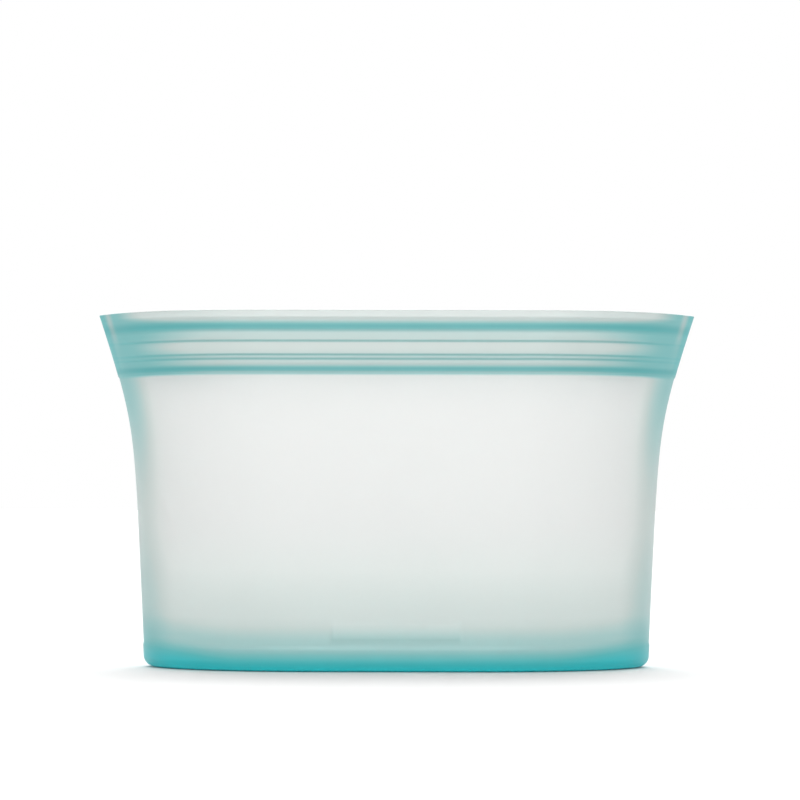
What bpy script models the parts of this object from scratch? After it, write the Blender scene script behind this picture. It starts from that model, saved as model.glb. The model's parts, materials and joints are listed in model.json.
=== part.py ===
"""Free-standing silicone dish with a zip moulded into its mouth.

The real thing is one soft moulding. Here its regions are separate closed solids, each a stretch of one
tapering, oval skin: a thick floor, thin walls that flare towards two pointed ears, and a band with the zip's
groove on the front lip and its tongue on the back lip. The middles of the two lips close towards each other.

Frame: origin under the middle of the base, +X to the right ear, +Y to the back, +Z up. Metres.
"""

import math

import bmesh
import bpy

MM = 0.001

# Overall size
HEIGHT = 106.0 * MM
MOUTH_LENGTH = 180.6 * MM        # ear tip to ear tip
MOUTH_DEPTH = 76.0 * MM          # outside of front lip to outside of back lip, mouth open
BASE_LENGTH = 152.4 * MM
BASE_DEPTH = 68.0 * MM

# How the ends rise: a straight lean, then a soft knee into a straight flare
END_LEAN = 0.048                 # outwards per unit of height
FLARE_DROP = 30.7 * MM           # knee below the rim
FLARE_SOFTNESS = 8.0 * MM

# Plan of a level: flat for a share of the half-length, then (1 - u**fullness)**(1 / rounding), u being the share
# of the rest, so that rounding 1 gives a pointed end
BASE_FLAT = 0.28
BASE_FULLNESS = 2.4
BASE_ROUNDING = 1.6
MOUTH_FLAT = 0.42
MOUTH_FULLNESS = 3.0
MOUTH_ROUNDING = 1.0

# Skin
GAP = 0.3 * MM                   # between neighbouring regions
FLOOR_THICKNESS = 4.2 * MM
BASE_FILLET = 3.2 * MM
HEEL_HEIGHT = 2.0 * MM
HEEL_THICKNESS = 2.4 * MM
WALL_THICKNESS = 1.5 * MM
WALL_PANEL_LENGTH = 104.0 * MM   # straight-ish middle of the front and back walls

# Band: the top of the skin, which carries the zip
WEB_THICKNESS = 1.6 * MM
RIM_CROWN = 0.5 * MM             # how far the rim's edge is rounded
LIP_LENGTH = 90.0 * MM           # middle of each lip, the stretch that closes as one piece
EAR_LENGTH = 3.6 * MM            # fused tip

# Stack of the band from the rim down, on the inside of the two lips
RIM_FLANGE = 2.2 * MM            # plain edge above the rim bead
RIM_BEAD_HEIGHT = 3.6 * MM
BEAD_TO_RAIL = 1.75 * MM         # plain web between a bead and the rail next to it
RAIL_THICKNESS = 1.2 * MM
GROOVE_WIDTH = 3.9 * MM
HINGE_BEAD_HEIGHT = 2.6 * MM
BAND_SKIRT = 0.6 * MM            # plain web below the hinge bead

# Zip
ZIP_REACH = 4.0 * MM             # rails and tongue, from root to tip
ZIP_CLEARANCE = 0.35 * MM        # tongue to rail, each side
CLOSED_CLEARANCE = 0.3 * MM      # tip to the other lip when closed

# Pad on the front wall
PAD_LENGTH = 37.6 * MM
PAD_HEIGHT = 4.2 * MM
PAD_THICKNESS = 0.4 * MM
PAD_DROP = 2.6 * MM              # pad's lower edge above the wall's foot

# Derived drops below the rim, to the middle of each part of the stack
RIM_BEAD_DROP = RIM_FLANGE + RIM_BEAD_HEIGHT / 2
UPPER_RAIL_DROP = RIM_FLANGE + RIM_BEAD_HEIGHT + BEAD_TO_RAIL + RAIL_THICKNESS / 2
GROOVE_DROP = UPPER_RAIL_DROP + (RAIL_THICKNESS + GROOVE_WIDTH) / 2
LOWER_RAIL_DROP = GROOVE_DROP + (GROOVE_WIDTH + RAIL_THICKNESS) / 2
HINGE_BEAD_DROP = LOWER_RAIL_DROP + RAIL_THICKNESS / 2 + BEAD_TO_RAIL + HINGE_BEAD_HEIGHT / 2

# Derived levels
HEEL_BOTTOM = FLOOR_THICKNESS + GAP
HEEL_TOP = HEEL_BOTTOM + HEEL_HEIGHT
WALL_BOTTOM = HEEL_TOP + GAP
BAND_BOTTOM = HEIGHT - HINGE_BEAD_DROP - HINGE_BEAD_HEIGHT / 2 - BAND_SKIRT
WALL_TOP = BAND_BOTTOM - GAP

# Derived zip: everything stands off the web by the gap and stops short of the other lip
ZIP_ROOT = WEB_THICKNESS + GAP
LIP_SPACE_CLOSED = GAP + ZIP_REACH + CLOSED_CLEARANCE
BEAD_REACH = (LIP_SPACE_CLOSED - CLOSED_CLEARANCE) / 2 - GAP
TONGUE_THICKNESS = GROOVE_WIDTH - 2 * ZIP_CLEARANCE

PANEL_STEPS = 14
END_STEPS = 14
LIP_STEPS = 12
CORNER_STEPS = 10
EAR_STEPS = 4
BEAD_STEPS = 6
FILLET_STEPS = 5
WALL_LEVELS = 9
BAND_LEVELS = 3

FRONT = -1
BACK = 1


def soft_knee(height):
    """Rises from nothing to a straight slope of one, past the flare's knee."""
    above = (height - (HEIGHT - FLARE_DROP)) / FLARE_SOFTNESS
    return FLARE_SOFTNESS * math.log1p(math.exp(above))


def half_length(height):
    """Outside half-length of the skin at a height."""
    straight_end = BASE_LENGTH / 2 + END_LEAN * HEIGHT
    flare_rate = (MOUTH_LENGTH / 2 - straight_end) / (soft_knee(HEIGHT) - soft_knee(0.0))
    return BASE_LENGTH / 2 + END_LEAN * height + flare_rate * (soft_knee(height) - soft_knee(0.0))


def half_depth(height):
    """Outside half-depth: a straight lean up to the band, then upright."""
    rise = min(height / BAND_BOTTOM, 1.0)
    return (BASE_DEPTH + (MOUTH_DEPTH - BASE_DEPTH) * rise) / 2


def skin_point(side, turn, height, inset):
    """A point of the skin: turn runs from -90 degrees at the left tip to +90 at the right."""
    share = height / HEIGHT
    flat = BASE_FLAT + (MOUTH_FLAT - BASE_FLAT) * share
    fullness = BASE_FULLNESS + (MOUTH_FULLNESS - BASE_FULLNESS) * share
    rounding = BASE_ROUNDING + (MOUTH_ROUNDING - BASE_ROUNDING) * share
    reach = max(-1.0, min(1.0, math.sin(turn)))
    bend = max(0.0, abs(reach) - flat) / (1.0 - flat)
    plan = max(0.0, 1.0 - bend**fullness) ** (1.0 / rounding)
    x = (half_length(height) - inset) * reach
    y = side * (half_depth(height) - inset) * plan
    return x, y, height


def turn_at(x, height, inset):
    """The turn at which the skin, set in by inset, reaches x."""
    return math.asin(max(-1.0, min(1.0, x / (half_length(height) - inset))))


def spread(first, last, steps):
    return [first + (last - first) * i / steps for i in range(steps + 1)]


def side_section(side, x_range, steps):
    """Section of a stretch of one side between two x positions."""

    def section(height, outer, inner):
        points = []
        for inset, ends in ((outer, x_range), (inner, x_range[::-1])):
            turns = spread(turn_at(ends[0], height, inset), turn_at(ends[1], height, inset), steps)
            points += [skin_point(side, turn, height, inset) for turn in turns]
        return points

    return section


def end_section(hand, cut, steps):
    """Section that runs from the front, round the tip on one hand, to the back."""

    def section(height, outer, inner):
        points = []
        for inset, sides in ((outer, (FRONT, BACK)), (inner, (BACK, FRONT))):
            start = turn_at(cut(height), height, inset)
            turns = spread(start, math.pi / 2, steps)
            points += [skin_point(sides[0], hand * turn, height, inset) for turn in turns]
            points += [skin_point(sides[1], hand * turn, height, inset) for turn in turns[-2::-1]]
        return points

    return section


def ear_section(hand, steps):
    """Section of a fused tip: solid from its flat inner face to the point."""

    def section(height, outer, _inner):
        start = turn_at(ear_cut(height), height, outer)
        turns = spread(start, math.pi / 2, steps)
        points = [skin_point(FRONT, hand * turn, height, outer) for turn in turns]
        return points + [skin_point(BACK, hand * turn, height, outer) for turn in turns[-2::-1]]

    return section


def oval_section(steps):
    """Full section of the skin, filled."""

    def section(height, outer, _inner):
        turns = spread(-math.pi / 2, math.pi / 2, steps)
        points = [skin_point(FRONT, turn, height, outer) for turn in turns]
        return points + [skin_point(BACK, turn, height, outer) for turn in turns[-2:0:-1]]

    return section


def ear_cut(height):
    return half_length(height) - EAR_LENGTH


def silicone(name, colour, roughness):
    material = bpy.data.materials.new(name)
    material.use_nodes = True
    shader = material.node_tree.nodes["Principled BSDF"]
    shader.inputs["Base Color"].default_value = (*colour, 1.0)
    shader.inputs["Roughness"].default_value = roughness
    shader.inputs["Metallic"].default_value = 0.0
    shader.inputs["Transmission Weight"].default_value = 0.6
    return material


def finish(name, mesh, material, carrier):
    """Turn a bmesh in world coordinates into an object, hung on its carrier empty if it has one."""
    bmesh.ops.recalc_face_normals(mesh, faces=mesh.faces)
    if carrier is not None:
        bmesh.ops.translate(mesh, verts=mesh.verts, vec=-carrier.location)
    data = bpy.data.meshes.new(name)
    mesh.to_mesh(data)
    mesh.free()
    data.shade_smooth()
    data.set_sharp_from_angle(angle=math.radians(35))
    data.materials.append(material)
    part = bpy.data.objects.new(name, data)
    bpy.context.collection.objects.link(part)
    part.parent = carrier
    return part


def ring_of_edges(mesh, points):
    verts = [mesh.verts.new(point) for point in points]
    return [mesh.edges.new((vert, verts[i - 1])) for i, vert in enumerate(verts)]


def loft(name, section, levels, material, carrier=None):
    """Solid through one section at each level (height, outer inset, inner inset), capped at both ends."""
    mesh = bmesh.new()
    rings = [ring_of_edges(mesh, section(*level)) for level in levels]
    for below, above in zip(rings, rings[1:]):
        bmesh.ops.bridge_loops(mesh, edges=below + above)
    for ring in (rings[0], rings[-1]):
        bmesh.ops.contextual_create(mesh, geom=ring)
    return finish(name, mesh, material, carrier)


def hoop(name, levels, material):
    """Closed ring of the skin through levels of (height, outer inset, inner inset)."""
    mesh = bmesh.new()
    section = oval_section(2 * END_STEPS)
    path = [(height, outer) for height, outer, _ in levels] + [(height, inner) for height, _, inner in levels[::-1]]
    rings = [ring_of_edges(mesh, section(height, inset, None)) for height, inset in path]
    for ring, following in zip(rings, rings[1:] + rings[:1]):
        bmesh.ops.bridge_loops(mesh, edges=ring + following)
    return finish(name, mesh, material, None)


def wall_levels(bottom, top, outer, inner, steps):
    return [(height, outer, inner) for height in spread(bottom, top, steps)]


def band_levels():
    """The web, upright, with its rim rounded over."""
    crown = HEIGHT - RIM_CROWN
    levels = wall_levels(BAND_BOTTOM, crown, 0.0, WEB_THICKNESS, BAND_LEVELS)
    return levels + [(HEIGHT, RIM_CROWN * 0.6, WEB_THICKNESS - RIM_CROWN * 0.6)]


def bead_levels(drop, height):
    """A half-round bead standing in from the web."""
    levels = []
    for angle in spread(-75.0, 75.0, BEAD_STEPS):
        rise = math.sin(math.radians(angle)) / math.sin(math.radians(75.0)) * height / 2
        reach = math.cos(math.radians(angle)) * BEAD_REACH
        levels.append((HEIGHT - drop + rise, ZIP_ROOT, ZIP_ROOT + reach))
    return levels


def rib_levels(drop, thickness):
    """A flat rib with a narrowed root-to-tip section, reaching in from the web."""
    tip = ZIP_ROOT + ZIP_REACH
    middle = HEIGHT - drop
    return [
        (middle - thickness / 2, ZIP_ROOT, tip - thickness / 3),
        (middle - thickness / 6, ZIP_ROOT, tip),
        (middle + thickness / 6, ZIP_ROOT, tip),
        (middle + thickness / 2, ZIP_ROOT, tip - thickness / 3),
    ]


def base_floor(material):
    fillet = min(BASE_FILLET, 0.95 * FLOOR_THICKNESS)
    levels = []
    for angle in spread(0.0, math.pi / 2, FILLET_STEPS):
        levels.append((fillet * (1.0 - math.cos(angle)), fillet * (1.0 - math.sin(angle)), None))
    levels.append((FLOOR_THICKNESS, 0.0, None))
    loft("base_floor", oval_section(2 * END_STEPS), levels, material)


def heel_ring(material):
    levels = [(HEEL_BOTTOM, 0.0, HEEL_THICKNESS), (HEEL_TOP, 0.0, WALL_THICKNESS)]
    hoop("heel_ring", levels, material)


def walls(panel_material, end_material):
    levels = wall_levels(WALL_BOTTOM, WALL_TOP, 0.0, WALL_THICKNESS, WALL_LEVELS)
    panel = WALL_PANEL_LENGTH / 2
    for name, side in (("front_wall", FRONT), ("back_wall", BACK)):
        loft(name, side_section(side, (-panel, panel), PANEL_STEPS), levels, panel_material)
    for name, hand in (("left_end_wall", -1), ("right_end_wall", 1)):
        section = end_section(hand, lambda _height: panel + GAP, END_STEPS)
        loft(name, section, levels, end_material)


def label_pad(material):
    bottom = WALL_BOTTOM + PAD_DROP
    levels = wall_levels(bottom, bottom + PAD_HEIGHT, -GAP - PAD_THICKNESS, -GAP, 1)
    section = side_section(FRONT, (-PAD_LENGTH / 2, PAD_LENGTH / 2), PANEL_STEPS)
    loft("label_pad", section, levels, material)


def lip(side_name, side, ribs, materials):
    """The closing middle of one lip, hung on an empty that slides along Y."""
    carrier = bpy.data.objects.new(f"{side_name}_lip_slide", None)
    carrier.location = (0.0, side * MOUTH_DEPTH / 2, HEIGHT - GROOVE_DROP)
    bpy.context.collection.objects.link(carrier)
    section = side_section(side, (-LIP_LENGTH / 2, LIP_LENGTH / 2), LIP_STEPS)
    loft(f"{side_name}_lip_web", section, band_levels(), materials["web"], carrier)
    rim_bead = bead_levels(RIM_BEAD_DROP, RIM_BEAD_HEIGHT)
    loft(f"{side_name}_rim_bead", section, rim_bead, materials["bead"], carrier)
    hinge_bead = bead_levels(HINGE_BEAD_DROP, HINGE_BEAD_HEIGHT)
    loft(f"{side_name}_hinge_bead", section, hinge_bead, materials["bead"], carrier)
    for name, drop, thickness in ribs:
        loft(name, section, rib_levels(drop, thickness), materials["rib"], carrier)


def lips(materials):
    rails = [
        ("front_groove_upper_rail", UPPER_RAIL_DROP, RAIL_THICKNESS),
        ("front_groove_lower_rail", LOWER_RAIL_DROP, RAIL_THICKNESS),
    ]
    lip("front", FRONT, rails, materials)
    lip("back", BACK, [("back_zip_tongue", GROOVE_DROP, TONGUE_THICKNESS)], materials)


def corner_section(side, hand, steps):
    """Section of the band between the closing lip and the ear, on one side and one hand."""

    def section(height, outer, inner):
        near, far = LIP_LENGTH / 2 + GAP, ear_cut(height) - GAP
        return side_section(side, (hand * near, hand * far), steps)(height, outer, inner)

    return section


def corners(material):
    for side_name, side in (("front", FRONT), ("back", BACK)):
        for hand_name, hand in (("left", -1), ("right", 1)):
            name = f"{side_name}_{hand_name}_corner_lip"
            loft(name, corner_section(side, hand, CORNER_STEPS), band_levels(), material)


def ears(material):
    for name, hand in (("left_ear", -1), ("right_ear", 1)):
        loft(name, ear_section(hand, EAR_STEPS), band_levels(), material)


def main():
    for leftover in list(bpy.data.objects):
        bpy.data.objects.remove(leftover, do_unlink=True)
    base_floor(silicone("silicone_floor", (0.02, 0.40, 0.43), 0.40))
    heel_ring(silicone("silicone_heel", (0.10, 0.48, 0.50), 0.45))
    walls(
        silicone("silicone_panel", (0.78, 0.84, 0.83), 0.50),
        silicone("silicone_end", (0.58, 0.73, 0.71), 0.50),
    )
    label_pad(silicone("silicone_pad", (0.40, 0.59, 0.60), 0.45))
    lips(
        {
            "web": silicone("silicone_web", (0.65, 0.76, 0.74), 0.45),
            "bead": silicone("silicone_bead", (0.16, 0.45, 0.46), 0.40),
            "rib": silicone("silicone_rib", (0.30, 0.43, 0.41), 0.40),
        }
    )
    corners(silicone("silicone_corner", (0.22, 0.55, 0.56), 0.42))
    ears(silicone("silicone_ear", (0.18, 0.46, 0.46), 0.42))


main()
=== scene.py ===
import json
import math

import bmesh
import bpy
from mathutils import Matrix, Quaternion, Vector
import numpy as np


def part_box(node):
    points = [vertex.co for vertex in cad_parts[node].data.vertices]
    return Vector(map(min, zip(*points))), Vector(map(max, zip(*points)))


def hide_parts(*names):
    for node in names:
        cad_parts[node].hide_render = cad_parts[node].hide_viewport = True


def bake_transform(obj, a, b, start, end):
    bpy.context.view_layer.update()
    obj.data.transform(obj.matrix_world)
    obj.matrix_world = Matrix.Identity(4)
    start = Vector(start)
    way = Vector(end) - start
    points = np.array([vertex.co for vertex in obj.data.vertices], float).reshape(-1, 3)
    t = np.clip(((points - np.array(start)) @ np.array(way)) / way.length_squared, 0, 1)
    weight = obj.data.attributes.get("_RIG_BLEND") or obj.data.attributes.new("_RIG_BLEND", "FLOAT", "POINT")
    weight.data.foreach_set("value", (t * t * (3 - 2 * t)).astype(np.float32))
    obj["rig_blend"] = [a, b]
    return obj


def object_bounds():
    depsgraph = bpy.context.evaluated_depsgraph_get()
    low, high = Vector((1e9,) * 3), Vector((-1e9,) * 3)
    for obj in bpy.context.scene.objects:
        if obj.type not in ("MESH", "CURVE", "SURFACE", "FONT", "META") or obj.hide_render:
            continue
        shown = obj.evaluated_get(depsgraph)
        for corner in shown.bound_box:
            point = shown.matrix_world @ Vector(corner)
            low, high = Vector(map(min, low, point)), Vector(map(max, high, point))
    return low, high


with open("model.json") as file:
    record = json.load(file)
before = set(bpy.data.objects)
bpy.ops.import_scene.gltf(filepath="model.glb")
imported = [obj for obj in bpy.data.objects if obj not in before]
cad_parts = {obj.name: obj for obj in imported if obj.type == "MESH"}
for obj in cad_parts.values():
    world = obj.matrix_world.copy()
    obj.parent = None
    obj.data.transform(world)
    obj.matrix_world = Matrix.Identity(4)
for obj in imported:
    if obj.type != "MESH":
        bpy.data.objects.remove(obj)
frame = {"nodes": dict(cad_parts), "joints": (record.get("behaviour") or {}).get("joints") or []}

# Free-standing dish of frosted silicone with a zip moulded into its lips, on a pale floor.
# The whole dish is one moulding, so its looks are one seamless skin: up the outside, over the rim, down the
# inside and across the floor. Its upper part bends with the two lips when the mouth is pressed shut.

MM = 0.001
CAD_LOW, CAD_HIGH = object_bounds()
FRONT = -1
BACK = 1

# Outline, read from the frame
HEIGHT = CAD_HIGH.z
FLOOR_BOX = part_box("base_floor")
BAND_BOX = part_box("front_lip_web")
PAD_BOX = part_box("label_pad")
BAND_BOTTOM = BAND_BOX[0].z
FLOOR_TOP = FLOOR_BOX[1].z
FOOT_HALF_LENGTH = FLOOR_BOX[1].x
FOOT_HALF_DEPTH = FLOOR_BOX[1].y

# How the ends rise and how each level's plan is shaped, as the solids under the skin are
END_LEAN = 0.048
FLARE_DROP = 30.7 * MM
FLARE_SOFTNESS = 8.0 * MM
BASE_PLAN = (0.28, 2.4, 1.6)     # flat share, fullness, rounding
MOUTH_PLAN = (0.42, 3.0, 1.04)

# Skin
BASE_FILLET = 3.2 * MM
INNER_FILLET = 5.0 * MM
WALL = 1.5 * MM
WEB = 1.25 * MM
FLANGE = 1.0 * MM
RIM_RADIUS = 0.25 * MM
EAR_FUSE = 1.6 * MM              # extra material inside the tips of the ears
PAD_RISE = 0.1 * MM
WEB_RECESS = 0.22 * MM           # how far the thin web lies behind the beads, outside
SHOULDER = 7.0 * MM              # small step where the foot ends and the wall begins
SHOULDER_STEP = 0.22 * MM
STEP_EASE = 0.3 * MM             # a small step in the outside eases over this much either way
BEAD_EASE = 0.2 * MM             # the recessed web starts this far behind a bead's edge
WEB_EASE = 0.5 * MM              # and has its full depth this far past it
WALL_THINNING = 3 * MM           # under the band the wall thins to the web over this height
FUSE_START = BAND_BOTTOM - 3 * MM
FUSE_FULL = BAND_BOTTOM + 2 * MM

# Shares of the half-length between which something fades towards the ears
RIBS_FADE = (0.88, 0.97)
RELIEF_FADE = (0.90, 0.985)

# Sections of the ribs, from bottom to top
ROUND_TURNS = range(-90, 91, 15)                                    # degrees
FLAT_STEPS = (-1.0, -0.88, -0.7, -0.45, 0.0, 0.45, 0.7, 0.88, 1.0)  # shares of the half height
FLAT_TOP = 0.55                  # share of a rail's half height that is flat before its edge rounds off

# How close the rings and stations of the skin lie
STATION_STEPS = 132
PAD_EDGE_STEP = 0.003            # share of the half-length over which the pad rises
PAD_EDGE_CLEAR = 0.008
FILLET_STEPS = 8
FOOT_STEPS = 8
WALL_STEPS = 30
BAND_STEPS_OUTSIDE = 64
BAND_STEPS_INSIDE = 40
RIM_STEPS = 4
PAD_RISE_HEIGHT = 0.2 * MM
CLOSEST_RINGS = 0.12 * MM
CLOSEST_INNER_RINGS = 0.04 * MM
UNDERSIDE_INSETS = (9 * MM, 5.5 * MM)
FLOOR_INSETS = (7.5 * MM, 11 * MM)
SHARP_EDGE_DEGREES = 50
ON_EDGE = 1e-6                   # a ring or station this close to the pad's edge is on the pad


def smoothstep(low, high, value):
    """0 at low, 1 at high, easing at both; low may be the larger."""
    share = max(0.0, min(1.0, (value - low) / (high - low)))
    return share * share * (3.0 - 2.0 * share)


def spread(first, last, steps):
    return [first + (last - first) * i / steps for i in range(steps + 1)]


def soft_knee(height):
    """0 below the flare, rising in line with height above it, with a soft bend between."""
    above = (height - (HEIGHT - FLARE_DROP)) / FLARE_SOFTNESS
    return FLARE_SOFTNESS * math.log1p(math.exp(above))


def half_length(height):
    lean_top = FOOT_HALF_LENGTH + END_LEAN * (HEIGHT - FLOOR_TOP)
    rate = (CAD_HIGH.x - lean_top) / (soft_knee(HEIGHT) - soft_knee(FLOOR_TOP))
    flare = rate * (soft_knee(height) - soft_knee(FLOOR_TOP))
    return FOOT_HALF_LENGTH + END_LEAN * (height - FLOOR_TOP) + flare


def half_depth(height):
    rise = min((height - FLOOR_TOP) / (BAND_BOTTOM - FLOOR_TOP), 1.0)
    return FOOT_HALF_DEPTH + (CAD_HIGH.y - FOOT_HALF_DEPTH) * rise


def plan(reach, height):
    """Depth of a level at a share of its half-length, as a share of its half-depth."""
    flat, fullness, rounding = (
        base + (mouth - base) * height / HEIGHT for base, mouth in zip(BASE_PLAN, MOUTH_PLAN)
    )
    bend = max(0.0, abs(reach) - flat) / (1.0 - flat)
    return max(0.0, 1.0 - bend**fullness) ** (1.0 / rounding)


def skin_point(side, reach, height, inset, end_inset):
    x = (half_length(height) - inset - end_inset) * reach
    y = side * (half_depth(height) - inset) * plan(reach, height)
    return Vector((x, y, height))


# ---- The band's relief, from the zip's own solids ----


class Rib:
    """A rail, tongue or bead: its height range and how far it reaches in from the outside."""

    def __init__(self, node, side, rounded):
        low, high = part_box(node)
        self.side = side
        self.rounded = rounded
        self.low, self.high = low.z, high.z
        self.reach = CAD_HIGH.y - min(abs(low.y), abs(high.y))
        self.middle = (low.z + high.z) / 2
        self.half = (high.z - low.z) / 2

    def heights(self):
        steps = [math.sin(math.radians(turn)) for turn in ROUND_TURNS] if self.rounded else FLAT_STEPS
        return [self.middle + self.half * step for step in steps]

    def stand(self, height, ground):
        """How far it stands in from the ground thickness at a height."""
        off = abs(height - self.middle) / self.half
        if off >= 1.0:
            return 0.0
        full = self.reach - ground
        if self.rounded:
            return full * math.sqrt(1.0 - off * off)
        return full * (1.0 - smoothstep(FLAT_TOP, 1.0, off) ** 2)


BEADS = [Rib("front_rim_bead", None, True), Rib("front_hinge_bead", None, True)]
RAILS = [Rib("front_groove_upper_rail", FRONT, False), Rib("front_groove_lower_rail", FRONT, False)]
TONGUE = [Rib("back_zip_tongue", BACK, False)]
RIBS = BEADS + RAILS + TONGUE
# Creases on the outside of both lips, where the rails behind them pull the web in
LINES = [RAILS[0].low - 0.35 * MM, RAILS[1].high - 0.50 * MM, RAILS[1].low - 0.50 * MM]
LINE_HALF_WIDTH = 0.42 * MM
LINE_DEPTH = 0.16 * MM


def ground_thickness(height):
    """Thickness of the skin between the ribs."""
    if height > BAND_BOTTOM:
        return WEB + (FLANGE - WEB) * smoothstep(BEADS[0].high, HEIGHT, height)
    return WALL + (WEB - WALL) * smoothstep(BAND_BOTTOM - WALL_THINNING, BAND_BOTTOM, height)


def rib_fade(reach):
    """Rails and tongue die away towards the ears."""
    return 1.0 - smoothstep(*RIBS_FADE, abs(reach))


def tip_fade(reach):
    """The outside's relief dies away where the two skins join in the ears."""
    return 1.0 - smoothstep(*RELIEF_FADE, abs(reach))


def inner_inset(side, reach, height):
    ground = ground_thickness(height) + outer_inset(side, reach, height)
    inset = ground + sum(bead.stand(height, ground) for bead in BEADS)
    for rib in RAILS + TONGUE:
        if rib.side == side:
            inset += rib.stand(height, ground) * rib_fade(reach)
    return inset


def outer_inset(side, reach, height):
    """Relief of the outside: foot, pad, and thin webs a little behind the beads."""
    inset = SHOULDER_STEP * smoothstep(SHOULDER - STEP_EASE, SHOULDER + STEP_EASE, height)
    if height < BAND_BOTTOM:
        return inset - pad_rise(side, reach, height)
    upper, lower = BEADS
    inset *= 1.0 - smoothstep(BAND_BOTTOM, lower.low + STEP_EASE, height)
    inside = smoothstep(lower.high - BEAD_EASE, lower.high + WEB_EASE, height)
    inside *= 1.0 - smoothstep(upper.low - WEB_EASE, upper.low + BEAD_EASE, height)
    above = smoothstep(upper.high - STEP_EASE, upper.high + STEP_EASE, height)
    inset += WEB_RECESS * max(inside, above)
    for line in LINES:
        inset += LINE_DEPTH * bell(height, line, LINE_HALF_WIDTH)
    return inset * tip_fade(reach)


def pad_rise(side, reach, height):
    across = abs(reach) <= PAD_REACH + ON_EDGE
    up = PAD_BOX[0].z - ON_EDGE <= height <= PAD_BOX[1].z + ON_EDGE
    return PAD_RISE if side == FRONT and across and up else 0.0


PAD_REACH = PAD_BOX[1].x / half_length(PAD_BOX[0].z)


def end_fuse(height):
    """Extra end inset of the inside, where the two skins are fused in the ears."""
    return EAR_FUSE * smoothstep(FUSE_START, FUSE_FULL, height)


# ---- How deep the colour runs, from 0 in the thin wall to 1 in the solid foot; with painted shade, painted light and a painted highlight ----

# How far below its middle each bead's colour is deepest
BEAD_SAGS = (0.80 * MM, 0.35 * MM)
# (height where the colour is deepest, the bead's half height)
BEAD_TINTS = [(bead.middle - sag, bead.half) for bead, sag in zip(BEADS, BEAD_SAGS)]
BEAD_TINT_SPREAD = 1.25          # how far the colour spreads past the bead's own half height
BEAD_SHADE_SPREAD = 1.3
# Half width of the painted shade along the creases
LINE_TINT_HALF_WIDTH = 0.6 * MM
GROOVE_MIDDLE = (RAILS[0].low + RAILS[1].high) / 2

# Depths in the band: the thin web, what the groove and the rim take off it, and the fused corners
WEB_DEPTH = 0.31
GROOVE_PALER = 0.10
GROOVE_HALF_HEIGHT = 3.0 * MM
RIM_PALER = 0.15
RIM_PALE_FROM = BEADS[0].high + 0.6 * MM
CORNER_DEPTH = 0.66
BEAD_DEPTH = 0.72
BEAD_DEEPER_IN_CORNER = 0.08
# Deeper colour along the creases and the band's bottom edge: painted shade
CREASE_PAINTED_SHADE = 0.26
LINE_LOST_IN_CORNER = 0.8

# Where the corners' colour starts, in shares of the half-length: by the beads, later in groove and rim
CORNER_START = 0.60
CORNER_FULL = 0.96
GROOVE_LATER = 0.13
GROOVE_LATER_HALF_HEIGHT = 3.6 * MM
RIM_LATER = 0.24
RIM_LATER_FROM = BEADS[0].high + 0.8 * MM

# Down the wall: from one height to another, and how much the depth grows between them
# The lower wall darkens towards the foot: partly the colour deepening towards the thick foot, partly painted
# shade
WALL_DEEPENING_AND_SHADE = (46 * MM, 17 * MM, 0.17)
HEEL_TINT = (15.5 * MM, 8 * MM, 0.26)
FOOT_TINT = (7.8 * MM, 0.3 * MM, 0.57)
FOOT_CLIMB = 2.4 * MM            # the heel's and the foot's colour climbs by this towards the ends
FOOT_CLIMB_SPAN = (0.60, 0.97)
WALL_END_SPAN = (0.85, 0.98)
END_TINT = 0.26
END_TINT_UNDER_BAND = 0.30       # added to it from this height up to the band
END_TINT_LOW = 45 * MM
PAD_TINT = 0.015
BAND_EDGE = (BAND_BOTTOM - 0.9 * MM, BAND_BOTTOM + 0.3 * MM)

# At the ears the outside has a deep seam and, beside it, a pale stripe: a painted highlight
SEAM_TINT = 0.12
SEAM_SPAN = (0.972, 0.988)
STRIPE_PAINTED_HIGHLIGHT = 0.42
STRIPE_MIDDLE = 0.967
STRIPE_HALF_WIDTH = 0.018

# Painted shade and painted light in the base colour: shares of the light taken off as painted shade, or
# added at the foot as painted light
END_SHADE = 0.10
BAND_SHADE = 0.075
CORNER_SHADE = 0.065
BEAD_SHADE = 0.21
BEAD_SHADE_LOST_IN_CORNER = 0.10
LINE_SHADE = 0.22
# painted light: the foot and its lower edge are made brighter in the base colour
FOOT_PAINTED_LIGHT = 0.35
FOOT_PAINTED_LIGHT_SPAN = (2.6 * MM, 0.0)
EDGE_PAINTED_LIGHT = 0.40
EDGE_PAINTED_LIGHT_SPAN = (1.3 * MM, 0.3 * MM)


def bell(place, middle, half_width):
    """1 at the middle, easing to 0 at half_width away and beyond."""
    off = abs(place - middle) / half_width
    return 0.5 + 0.5 * math.cos(math.pi * off) if off < 1.0 else 0.0


def corner_depth(reach, height):
    """How far the fused corners have taken over: by the beads first, then the groove, then the rim."""
    groove = bell(height, GROOVE_MIDDLE, GROOVE_LATER_HALF_HEIGHT)
    start = CORNER_START + GROOVE_LATER * groove
    start += RIM_LATER * smoothstep(BEADS[0].middle, RIM_LATER_FROM, height)
    return smoothstep(start, CORNER_FULL, abs(reach))


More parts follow.
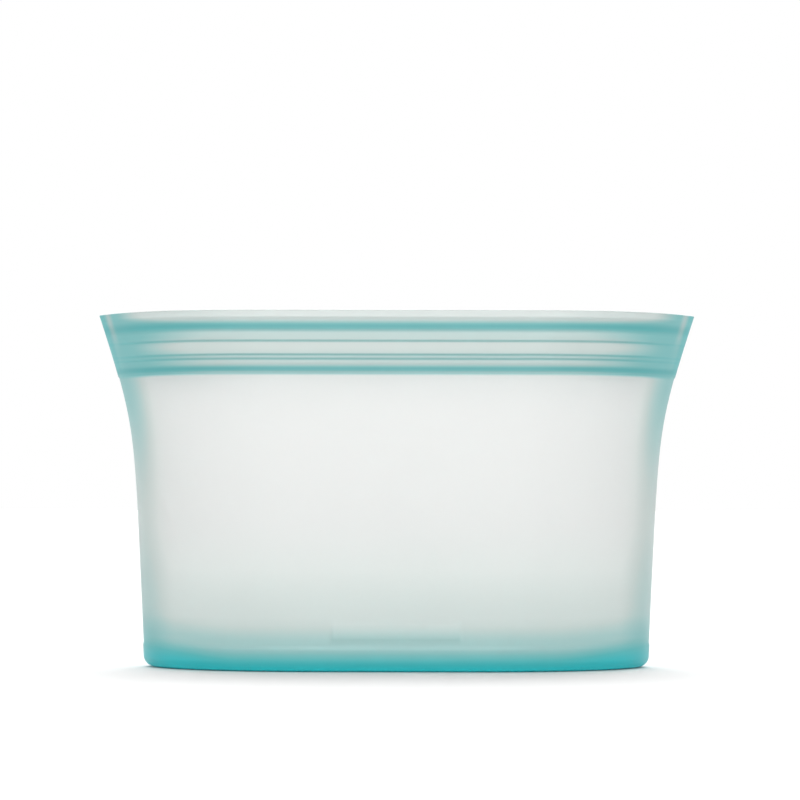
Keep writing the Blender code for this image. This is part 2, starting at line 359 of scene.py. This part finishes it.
def band_depth(reach, height):
    corner = corner_depth(reach, height)
    groove = bell(height, GROOVE_MIDDLE, GROOVE_HALF_HEIGHT)
    rim = smoothstep(BEADS[0].middle, RIM_PALE_FROM, height)
    thin = WEB_DEPTH - GROOVE_PALER * groove - RIM_PALER * rim
    depth = thin + (CORNER_DEPTH - thin) * corner
    peak = BEAD_DEPTH + BEAD_DEEPER_IN_CORNER * corner
    for middle, half in BEAD_TINTS:
        depth += (peak - depth) * bell(height, middle, half * BEAD_TINT_SPREAD)
    # Painted shade along the creases and the band's bottom edge
    for line in LINES + [BAND_BOTTOM]:
        tint = CREASE_PAINTED_SHADE * bell(height, line, LINE_TINT_HALF_WIDTH)
        depth += tint * (1.0 - LINE_LOST_IN_CORNER * corner)
    return depth


def wall_end(reach):
    """How far the wall has turned into its end, where both skins meet."""
    return smoothstep(*WALL_END_SPAN, abs(reach))


def wall_depth(side, reach, height):
    """Down the wall the colour deepens slowly, then quickly through the foot; both ends are deeper."""
    foot = height - FOOT_CLIMB * smoothstep(*FOOT_CLIMB_SPAN, abs(reach))
    depth = 0.0
    for (start, full, growth), level in ((WALL_DEEPENING_AND_SHADE, height), (HEEL_TINT, foot), (FOOT_TINT, foot)):
        depth += growth * smoothstep(start, full, level)
    end = END_TINT + END_TINT_UNDER_BAND * smoothstep(END_TINT_LOW, BAND_BOTTOM, height)
    depth += (1.0 - depth) * (wall_end(reach) * end)
    return depth + PAD_TINT * (pad_rise(side, reach, height) > 0)


def colour_depth(side, reach, height, inset):
    """Wall below, band above; only the outside has the seam and the painted highlight, a pale stripe at the
    ears.
    """
    under_band = wall_depth(side, reach, height)
    depth = under_band + (band_depth(reach, height) - under_band) * smoothstep(*BAND_EDGE, height)
    if inset > WEB / 2:
        return depth
    seam = SEAM_TINT * smoothstep(*SEAM_SPAN, abs(reach))
    seam *= smoothstep(BAND_BOTTOM, BEADS[1].high, height)
    # pale stripe beside the seam: a painted highlight
    highlight = STRIPE_PAINTED_HIGHLIGHT * bell(abs(reach), STRIPE_MIDDLE, STRIPE_HALF_WIDTH)
    highlight *= smoothstep(RAILS[1].high, BEADS[0].high, height)
    return (depth + seam) * (1.0 - highlight)


def painted_light_and_shade(reach, height):
    """Painted shade over the band, behind ribs, in creases, at the wall's ends and where both skins meet;
    painted light at the foot and its lower edge.
    """
    if height <= BAND_BOTTOM:
        # Painted shade at the wall's ends; painted light at the foot and along its lower edge
        shade = END_SHADE * wall_end(reach) - FOOT_PAINTED_LIGHT * smoothstep(*FOOT_PAINTED_LIGHT_SPAN, height)
        shade -= EDGE_PAINTED_LIGHT * smoothstep(*EDGE_PAINTED_LIGHT_SPAN, height)
        return 1.0 - shade
    # Painted shade over the band, deeper behind the beads, in the creases and at the corners
    corner = corner_depth(reach, height)
    beads = sum(bell(height, middle, half * BEAD_SHADE_SPREAD) for middle, half in BEAD_TINTS)
    lines = sum(bell(height, line, LINE_TINT_HALF_WIDTH) for line in LINES)
    shade = BAND_SHADE + CORNER_SHADE * corner
    shade += (BEAD_SHADE - BEAD_SHADE_LOST_IN_CORNER * corner) * beads
    shade += LINE_SHADE * (1.0 - corner) * lines
    return 1.0 - shade


# ---- Closing the mouth ----

LIP_JOINT = next(joint for joint in frame["joints"] if joint["name"] == "back_lip_close")
LIP_TRAVEL = LIP_JOINT["range_m"][1]
CLOSED_HALF_DEPTH = CAD_HIGH.y - LIP_TRAVEL
CLOSED_TAPER = 0.6               # how the closed lips narrow towards the ears; at 1, as the open ones do
WALL_LEAN = 1.35                 # how the walls lean in up to the band; at 1, straight from the foot


def closing_share(side, reach, height):
    """Share between the two lips that a point follows: 0 the back lip, 1 the front, a half stays still.

    The lips meet along the whole zip; below the band the walls lean in, down to nothing at the foot.
    """
    level = max(height, BAND_BOTTOM)
    share = plan(reach, level)
    closed = CLOSED_HALF_DEPTH * share**CLOSED_TAPER
    move = max(0.0, half_depth(level) * share - closed) / LIP_TRAVEL
    lift = max(0.0, min(1.0, (height - FLOOR_TOP) / (BAND_BOTTOM - FLOOR_TOP)))
    return 0.5 - 0.5 * side * move * lift**WALL_LEAN


def close_mouth(skin):
    """Bends the skin between the two lips as they close.

    Start and end then have no say in the motion.
    """
    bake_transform(skin, "back_lip", "front_lip", start=(0, CAD_HIGH.y, HEIGHT), end=(0, CAD_LOW.y, HEIGHT))
    shares = [0.0] * len(skin.data.vertices)
    skin.data.attributes["closing"].data.foreach_get("value", shares)
    skin.data.attributes["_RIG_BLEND"].data.foreach_set("value", shares)


# ---- The skin as a run of rings ----


def stations():
    """Shares of the half-length at which every ring has a vertex, left tip to right tip."""
    shares = [math.sin(math.radians(turn)) for turn in spread(-90.0, 90.0, STATION_STEPS)]
    edges = [sign * (PAD_REACH + step) for sign in (-1, 1) for step in (0.0, PAD_EDGE_STEP)]
    clear = [share for share in shares if all(abs(share - edge) > PAD_EDGE_CLEAR for edge in edges)]
    return sorted(clear + edges)


def merged(heights, closest):
    """Heights in order, without those too close to the one below."""
    kept = []
    for height in sorted(heights):
        if not kept or height - kept[-1] > closest:
            kept.append(height)
    return kept


def clear_of(heights, edges, distance):
    """Heights that keep a distance from every edge."""
    return [height for height in heights if all(abs(height - edge) > distance for edge in edges)]


def wall_heights():
    return spread(SHOULDER + 1.0 * MM, BAND_BOTTOM - 0.2 * MM, WALL_STEPS)


def outer_heights():
    pad_low, pad_high = PAD_BOX[0].z, PAD_BOX[1].z
    pad = [pad_low - PAD_RISE_HEIGHT, pad_low, pad_high, pad_high + PAD_RISE_HEIGHT]
    walls = clear_of(wall_heights(), pad, 0.5 * MM)
    foot = spread(BASE_FILLET + 0.4 * MM, SHOULDER + 0.4 * MM, FOOT_STEPS)
    creases = [line + LINE_HALF_WIDTH * step for line in LINES for step in (-1.0, -0.5, 0.0, 0.5, 1.0)]
    band = spread(BAND_BOTTOM - 1.0 * MM, HEIGHT - RIM_RADIUS, BAND_STEPS_OUTSIDE)
    band = clear_of(band, creases, 0.14 * MM)
    return merged(foot + pad + walls + band + creases, CLOSEST_RINGS)


def inner_heights():
    walls = [height for height in wall_heights() if height > FLOOR_TOP + INNER_FILLET + 0.8 * MM]
    ribs = [height for rib in RIBS for height in rib.heights()]
    band = spread(BAND_BOTTOM, HEIGHT - RIM_RADIUS, BAND_STEPS_INSIDE)
    return merged(walls + clear_of(band, ribs, 0.35 * MM) + ribs, CLOSEST_INNER_RINGS)


def rim_section():
    """Over the rim as (height, how far across), outside to inside: a flat top with two small round edges."""
    turns = spread(0.0, math.pi / 2, RIM_STEPS)[1:]
    rise = [(math.sin(turn) * RIM_RADIUS, (1.0 - math.cos(turn)) * RIM_RADIUS) for turn in turns]
    outside = [(HEIGHT - RIM_RADIUS + up, across) for up, across in rise]
    inside = [(height, FLANGE - across) for height, across in reversed(outside)]
    return outside + [(HEIGHT, FLANGE / 2)] + inside


def even_ring(height, inset):
    return height, lambda side, reach: (inset, 0.0)


def rim_insets(across):
    fuse = end_fuse(HEIGHT) * (across / FLANGE)
    return lambda side, reach: (WEB_RECESS * tip_fade(reach) + across, fuse)


def ring_rows():
    """Every ring from the middle of the underside to the middle of the floor inside.

    Each is its height and a function of side and reach, which gives the inset and the extra end inset.
    """
    turns = spread(0.0, math.pi / 2, FILLET_STEPS)
    rows = [even_ring(0.0, inset) for inset in UNDERSIDE_INSETS]
    for turn in turns:
        rows.append(even_ring(BASE_FILLET * (1.0 - math.cos(turn)), BASE_FILLET * (1.0 - math.sin(turn))))
    for height in outer_heights():
        rows.append((height, lambda side, reach, h=height: (outer_inset(side, reach, h), 0.0)))
    for height, across in rim_section():
        rows.append((height, rim_insets(across)))
    for height in reversed(inner_heights()):
        rows.append((height, lambda side, reach, h=height: (inner_inset(side, reach, h), end_fuse(h))))
    for turn in turns:
        inset = WALL + SHOULDER_STEP + INNER_FILLET * (1.0 - math.cos(turn))
        rows.append(even_ring(FLOOR_TOP + INNER_FILLET * (1.0 - math.sin(turn)), inset))
    return rows + [even_ring(FLOOR_TOP, inset) for inset in FLOOR_INSETS]


def place_ring(ring, around, row, layers):
    height, insets = row
    for vert, (side, reach) in zip(ring, around):
        inset, end_inset = insets(side, reach)
        vert.co = skin_point(side, reach, height, inset, end_inset)
        vert[layers["colour_depth"]] = colour_depth(side, reach, height, inset)
        # painted shade and painted light, multiplied into the base colour
        vert[layers["painted_light_and_shade"]] = painted_light_and_shade(reach, height)
        vert[layers["closing"]] = closing_share(side, reach, height)


def next_ring(mesh, ring):
    """Extrudes a closed ring of vertices; gives the new ring in the same order."""
    edges = [
        next(edge for edge in vert.link_edges if edge.other_vert(vert) == follower)
        for vert, follower in zip(ring, ring[1:] + ring[:1])
    ]
    grown = bmesh.ops.extrude_edge_only(mesh, edges=edges)["geom"]
    new = {item for item in grown if isinstance(item, bmesh.types.BMVert)}
    return [
        next(edge.other_vert(vert) for edge in vert.link_edges if edge.other_vert(vert) in new)
        for vert in ring
    ]


def build_skin():
    shares = stations()
    around = [(FRONT, share) for share in shares] + [(BACK, share) for share in shares[-2:0:-1]]
    first_row, *other_rows = ring_rows()
    mesh = bmesh.new()
    layers = mesh.verts.layers.float
    for name in ("colour_depth", "painted_light_and_shade", "closing"):
        layers.new(name)
    first = bmesh.ops.create_circle(mesh, segments=len(around), radius=1.0)["verts"]
    place_ring(first, around, first_row, layers)
    ring = first
    for row in other_rows:
        ring = next_ring(mesh, ring)
        place_ring(ring, around, row, layers)
    mesh.faces.new(first)
    mesh.faces.new(ring)
    bmesh.ops.recalc_face_normals(mesh, faces=mesh.faces)
    data = bpy.data.meshes.new("silicone_skin")
    mesh.to_mesh(data)
    mesh.free()
    data.shade_smooth()
    data.set_sharp_from_angle(angle=math.radians(SHARP_EDGE_DEGREES))
    skin = bpy.data.objects.new("silicone_skin", data)
    bpy.context.scene.collection.objects.link(skin)
    return skin


# ---- Material ----


def linear(hex_colour):
    """sRGB hex to linear RGBA."""
    parts = [int(hex_colour[i : i + 2], 16) / 255 for i in (0, 2, 4)]
    return (*[c / 12.92 if c <= 0.04045 else ((c + 0.055) / 1.055) ** 2.4 for c in parts], 1.0)


def add_node(tree, kind, settings=None, links=None):
    """One node: plain settings by attribute or input name, links as input name to output socket."""
    node = tree.nodes.new(kind)
    for name, value in (settings or {}).items():
        if name in node.inputs:
            node.inputs[name].default_value = value
        else:
            setattr(node, name, value)
    for name, socket in (links or {}).items():
        tree.links.new(socket, node.inputs[name])
    return node


def new_material(name):
    material = bpy.data.materials.new(name)
    material.use_nodes = True
    material.node_tree.nodes.clear()
    return material, material.node_tree


# Colour of the light that one pass through the skin lets through, from thin to deep
DEPTH_COLOURS = [
    (0.00, "F7F5F4"),
    (0.10, "F4F5F3"),
    (0.25, "E0E9E6"),
    (0.40, "C0DEDC"),
    (0.60, "88CCCC"),
    (0.80, "55BEC0"),
    (1.00, "2CBAC0"),
]


def set_stops(ramp, stops):
    elements = ramp.color_ramp.elements
    while len(elements) < len(stops):
        elements.new(0.5)
    for element, (position, colour) in zip(elements, stops):
        element.position = position
        element.color = linear(colour)


BLAST_GRAIN = 0.6 * MM           # the blasted mould's grain is about 0.1 mm; drawn coarser, so that it shows
HANDLING_PATCH = 14 * MM         # faint uneven satin left by handling


def moulded_silicone():
    """Platinum silicone from a blasted mould: satin both sides, pale where thin, teal where thick; its base
    colour also carries painted shade and painted light.
    """
    material, tree = new_material("moulded_silicone")
    depth = add_node(tree, "ShaderNodeAttribute", {"attribute_name": "colour_depth"})
    tint = add_node(tree, "ShaderNodeValToRGB", links={"Fac": depth.outputs["Fac"]})
    set_stops(tint, DEPTH_COLOURS)
    # this attribute carries painted shade and painted light, which scale the base colour
    shade_and_light_attribute = add_node(tree, "ShaderNodeAttribute", {"attribute_name": "painted_light_and_shade"})
    shaded = add_node(
        tree,
        "ShaderNodeVectorMath",
        {"operation": "SCALE"},
        {"Vector": tint.outputs["Color"], "Scale": shade_and_light_attribute.outputs["Fac"]},
    )
    clearness = add_node(
        tree,
        "ShaderNodeMapRange",
        {"To Min": 0.60, "To Max": 0.15},
        {"Value": depth.outputs["Fac"]},
    )
    place = add_node(tree, "ShaderNodeTexCoord")
    blast = add_node(
        tree,
        "ShaderNodeTexNoise",
        {"Scale": 1.0 / BLAST_GRAIN, "Detail": 2.0},
        {"Vector": place.outputs["Object"]},
    )
    relief = add_node(
        tree,
        "ShaderNodeBump",
        {"Strength": 0.25, "Distance": 0.02 * MM},
        {"Height": blast.outputs["Fac"]},
    )
    handling = add_node(
        tree,
        "ShaderNodeTexNoise",
        {"Scale": 1.0 / HANDLING_PATCH, "Detail": 3.0},
        {"Vector": place.outputs["Object"]},
    )
    satin = add_node(
        tree,
        "ShaderNodeMapRange",
        {"From Min": 0.3, "From Max": 0.7, "To Min": 0.34, "To Max": 0.43},
        {"Value": handling.outputs["Fac"]},
    )
    shader = add_node(
        tree,
        "ShaderNodeBsdfPrincipled",
        {"IOR": 1.41},
        {
            "Base Color": shaded.outputs["Vector"],
            "Transmission Weight": clearness.outputs["Result"],
            "Roughness": satin.outputs["Result"],
            "Normal": relief.outputs["Normal"],
        },
    )
    volume = add_node(tree, "ShaderNodeVolumeAbsorption", {"Color": linear("30F0F2"), "Density": 20.0})
    add_node(
        tree,
        "ShaderNodeOutputMaterial",
        links={"Surface": shader.outputs["BSDF"], "Volume": volume.outputs["Volume"]},
    )
    return material


def floor_paper():
    material, tree = new_material("white_backdrop_paper")
    shader = add_node(
        tree, "ShaderNodeBsdfPrincipled", {"Base Color": linear("D6D6D6"), "Roughness": 0.9}
    )
    add_node(tree, "ShaderNodeOutputMaterial", links={"Surface": shader.outputs["BSDF"]})
    return material


# ---- Studio ----

FLOOR_GAP = 0.1 * MM             # the floor lies this far under the dish, so that the two don't coincide
CAMERA_PLACE = Vector((0.0010, -1.064, 0.0555))
CAMERA_AIM = Vector((0.0010, 0.0, 0.0805))
CAMERA_ROLL_DEGREES = 0.10


def studio_floor():
    """A sheet of paper, wide enough to have no edge in view."""
    mesh = bmesh.new()
    bmesh.ops.create_grid(mesh, x_segments=1, y_segments=1, size=6.0)
    data = bpy.data.meshes.new("studio_floor")
    mesh.to_mesh(data)
    mesh.free()
    floor = bpy.data.objects.new("studio_floor", data)
    floor.location.z = CAD_LOW.z - FLOOR_GAP
    floor.data.materials.append(floor_paper())
    bpy.context.scene.collection.objects.link(floor)


def area_light(name, place, target, size, power):
    lamp = bpy.data.lights.new(name, "AREA")
    lamp.shape = "SQUARE"
    lamp.size = size
    lamp.energy = power
    light = bpy.data.objects.new(name, lamp)
    light.location = place
    light.rotation_euler = (Vector(target) - Vector(place)).to_track_quat("-Z", "Y").to_euler()
    bpy.context.scene.collection.objects.link(light)


def studio_light():
    world = bpy.data.worlds.new("studio_white")
    world.use_nodes = True
    world.node_tree.nodes["Background"].inputs["Color"].default_value = (1.0, 1.0, 1.0, 1.0)
    world.node_tree.nodes["Background"].inputs["Strength"].default_value = 1.0
    bpy.context.scene.world = world
    lamp = bpy.data.lights.new("soft_overhead", "SUN")
    lamp.energy = 2.65
    lamp.angle = math.radians(50)
    light = bpy.data.objects.new("soft_overhead", lamp)
    light.rotation_euler = (math.radians(-33), 0.0, 0.0)
    bpy.context.scene.collection.objects.link(light)
    area_light("front_softbox", place=(0.0, -2.0, 0.45), target=(0.0, 0.0, 0.05), size=1.2, power=13.0)
    bpy.context.scene.view_settings.view_transform = "Standard"


def camera():
    data = bpy.data.cameras.new("camera")
    data.sensor_width = 36.0
    data.lens = 158.2
    view = bpy.data.objects.new("camera", data)
    view.location = CAMERA_PLACE
    look = (CAMERA_AIM - CAMERA_PLACE).to_track_quat("-Z", "Y")
    roll = Quaternion((0.0, 0.0, 1.0), math.radians(CAMERA_ROLL_DEGREES))
    view.rotation_euler = (look @ roll).to_euler()
    bpy.context.scene.collection.objects.link(view)
    bpy.context.scene.camera = view


def main():
    skin = build_skin()
    skin.data.materials.append(moulded_silicone())
    close_mouth(skin)
    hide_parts(*frame["nodes"])
    studio_floor()
    studio_light()
    camera()
    print("skin", len(skin.data.vertices), "vertices", len(skin.data.polygons), "faces")


main()
